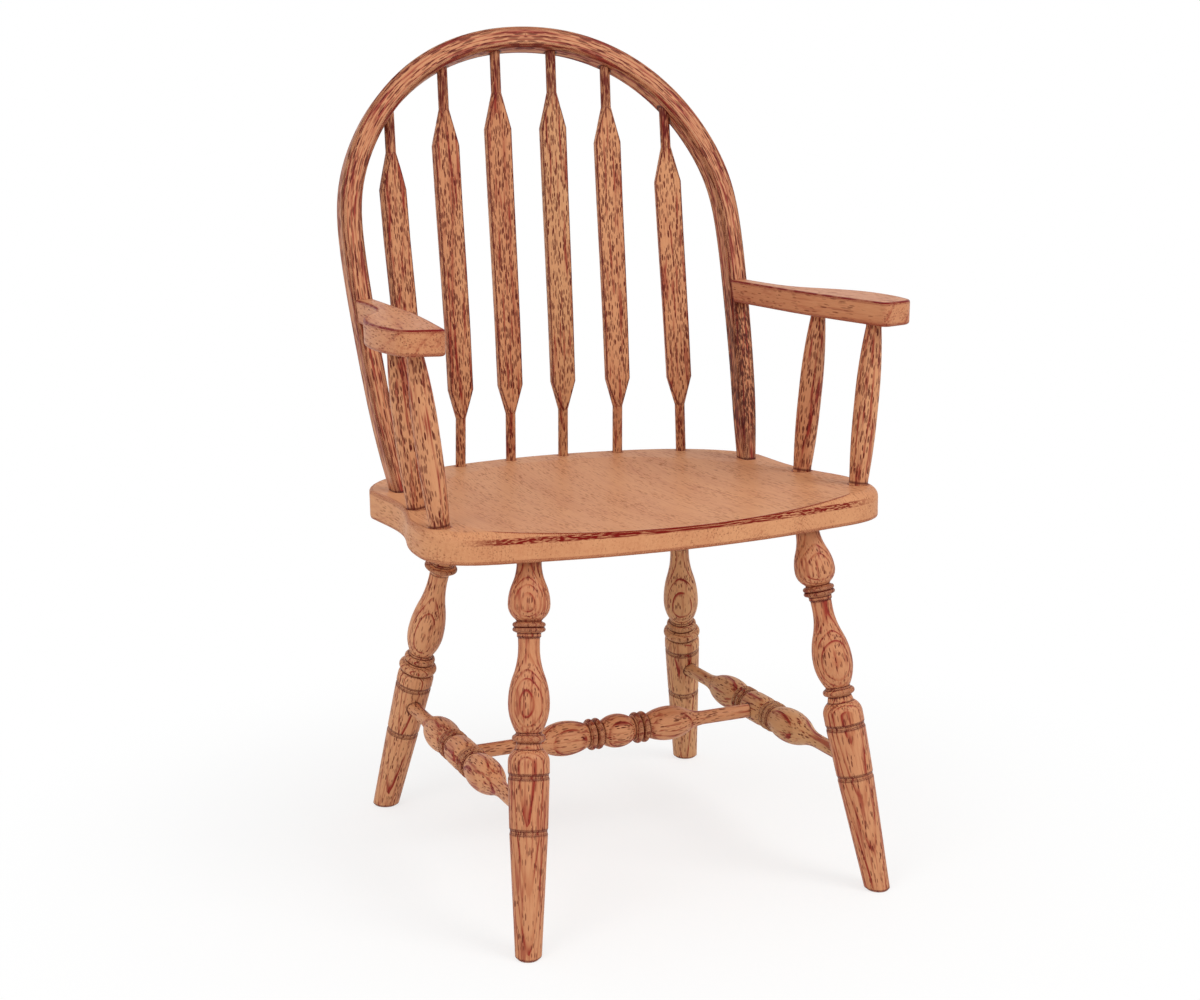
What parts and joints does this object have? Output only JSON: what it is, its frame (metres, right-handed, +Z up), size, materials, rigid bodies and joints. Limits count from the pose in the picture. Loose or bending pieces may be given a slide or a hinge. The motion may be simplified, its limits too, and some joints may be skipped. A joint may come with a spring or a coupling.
{
  "type": "bow-back armchair",
  "caption": "Windsor armchair with a bent bow back, arrow-shaped spindles, dished plank seat, flat arms on turned posts and splayed turned legs joined by stretchers.",
  "frame": {"origin": "on the floor under the middle of the chair's bounding box", "axes": "+Z up, the front of the seat faces -Y, +X to the right of a viewer who stands in front"},
  "size_m": [0.6342, 0.5325, 1.0005],
  "materials": {
    "oak_seat": "satin lacquer over stained oak, glued plank",
    "oak_bow": "satin lacquer over stained bent oak",
    "oak_spindles": "satin lacquer over stained oak",
    "oak_arms": "satin lacquer over stained oak",
    "oak_turned": "satin lacquer over stained turned oak",
    "oak_plugs": "satin lacquer over stained oak, end grain",
    "screw_steel": "zinc-plated"
  },
  "bodies": {
    "root": {"arm_left": "oak_arms", "arm_plugs": "oak_plugs", "arm_post_front_left": "oak_turned", "arm_post_front_right": "oak_turned", "arm_post_rear_left": "oak_turned", "arm_post_rear_right": "oak_turned", "arm_right": "oak_arms", "arm_screws": "screw_steel", "bow": "oak_bow", "cross_stretcher": "oak_turned", "leg_front_left": "oak_turned", "leg_front_right": "oak_turned", "leg_rear_left": "oak_turned", "leg_rear_right": "oak_turned", "seat": "oak_seat", "side_stretcher_left": "oak_turned", "side_stretcher_right": "oak_turned", "spindle_1": "oak_spindles", "spindle_2": "oak_spindles", "spindle_3": "oak_spindles", "spindle_4": "oak_spindles", "spindle_5": "oak_spindles", "spindle_6": "oak_spindles"}
  },
  "joints": []
}
